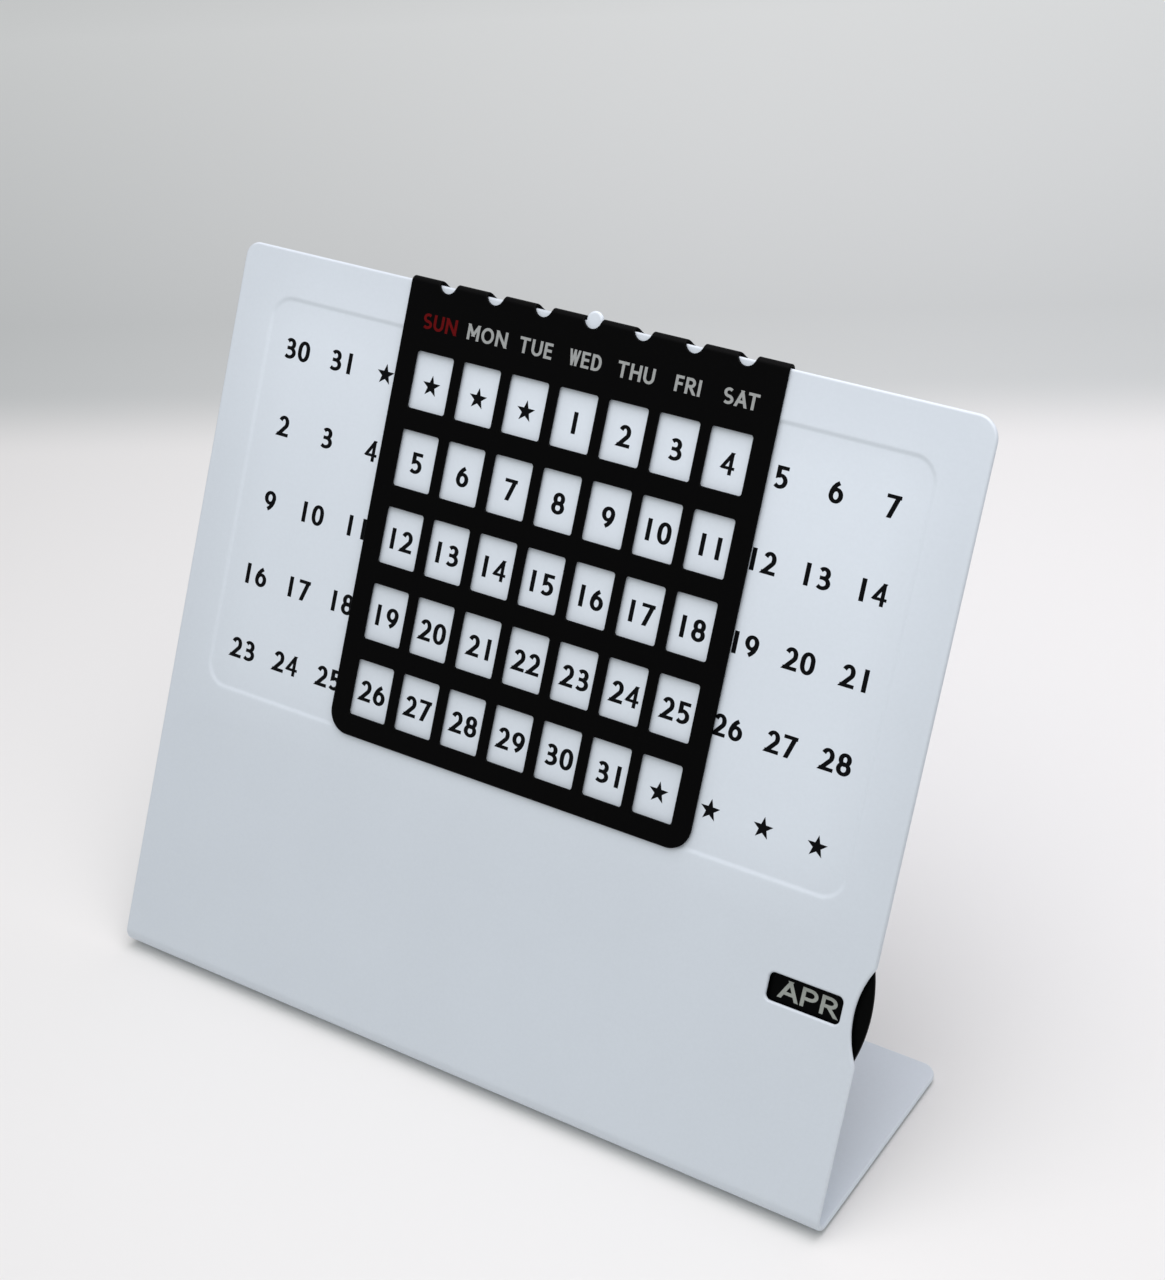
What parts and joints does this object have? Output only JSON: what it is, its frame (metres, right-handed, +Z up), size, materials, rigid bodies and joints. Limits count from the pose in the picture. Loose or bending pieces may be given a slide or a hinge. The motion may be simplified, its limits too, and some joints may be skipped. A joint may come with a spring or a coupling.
{
  "type": "perpetual desk calendar",
  "caption": "Perpetual desk calendar: white bent-sheet stand with printed dates, a black windowed slider hung on its top edge, and a month dial behind a small window.",
  "frame": {"origin": "on the desk, under the middle of the calendar's depth and of the panel's width", "axes": "+X to the reader's right along the panel's top edge, +Y to the back, towards which the panel leans, +Z up"},
  "size_m": [0.181, 0.0856, 0.1404],
  "materials": {
    "white_powder_coat": "white powder coat on steel sheet, satin, faint orange peel",
    "black_powder_coat": "black powder coat on steel sheet, satin",
    "black_dial_print": "black coated disc with light grey month names",
    "plated_steel": "zinc plated",
    "spring_steel": "plain spring steel",
    "nylon": "natural nylon",
    "pad_rubber": "matt dark rubber"
  },
  "bodies": {
    "stand_body": {"stand": "white_powder_coat", "dial_stud": "plated_steel", "thrust_washer": "nylon", "spring_washer": "spring_steel", "retaining_washer": "plated_steel", "dome_nut": "plated_steel", "foot_pad_front_left": "pad_rubber", "foot_pad_front_right": "pad_rubber", "foot_pad_rear_left": "pad_rubber", "foot_pad_rear_right": "pad_rubber"},
    "slider_body": {"date_slider": "black_powder_coat"},
    "dial_body": {"month_dial": "black_dial_print"}
  },
  "joints": [
    {"name": "date_slide", "type": "slide", "parent": "stand_body", "child": "slider_body", "axis": [1, 0, 0], "range_m": [-0.036, 0.036]},
    {"name": "month_turn", "type": "hinge", "parent": "stand_body", "child": "dial_body", "pos_m": [0.0597, -0.02039, 0.04023], "axis": [0, -0.848, 0.5299], "continuous": true}
  ]
}
